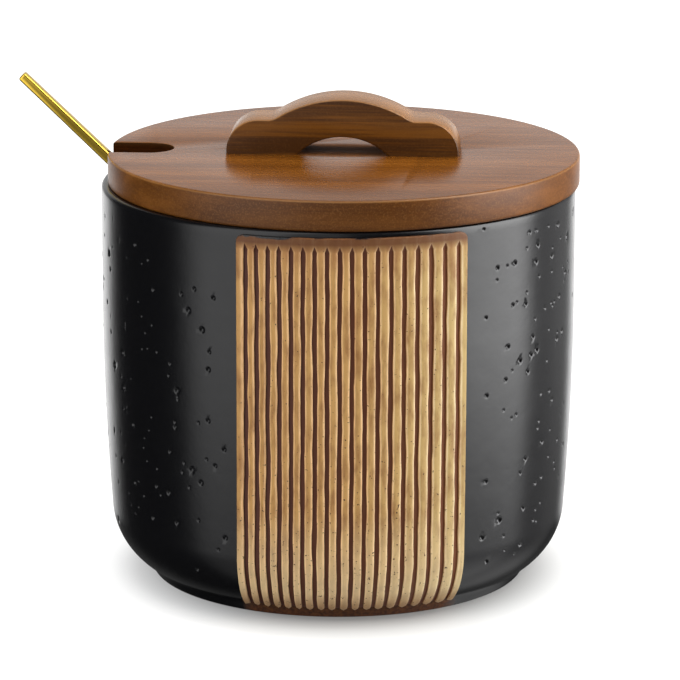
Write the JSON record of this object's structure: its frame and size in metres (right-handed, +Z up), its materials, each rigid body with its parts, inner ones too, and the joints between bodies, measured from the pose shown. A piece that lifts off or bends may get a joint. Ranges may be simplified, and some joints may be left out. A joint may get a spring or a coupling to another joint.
{
  "type": "lidded salt jar with spoon",
  "caption": "Round glazed salt jar with a ribbed clay panel, a notched wooden lift-off lid with an arched handle, and a slim metal spoon that leans out through the notch.",
  "frame": {"origin": "centre of the foot ring, on the surface that the jar stands on", "axes": "+Z up along the jar's axis; the ribbed panel faces -Y; the spoon leans out towards -X; +X to the right, seen from the panel's side"},
  "size_m": [0.1227, 0.1048, 0.1102],
  "materials": {
    "black_glaze": "satin black glaze with small pits",
    "combed_clay": "tan ribs with dark brown grooves, satin",
    "dark_wood": "oiled, fine grained",
    "screw_steel": "plain",
    "spoon_brass": "polished"
  },
  "bodies": {
    "jar": {"jar": "black_glaze", "relief_panel": "combed_clay"},
    "lid": {"lid_disc": "dark_wood", "lid_spigot": "dark_wood", "lid_handle": "dark_wood", "handle_screws": "screw_steel"},
    "spoon": {"spoon": "spoon_brass"}
  },
  "joints": [
    {"name": "lid_lift", "type": "slide", "parent": "jar", "child": "lid", "axis": [0, 0, 1], "range_m": [0, 0.06]},
    {"name": "spoon_draw", "type": "slide", "parent": "jar", "child": "spoon", "axis": [-0.7164, 0.088, 0.6921], "range_m": [0, 0.075]}
  ]
}
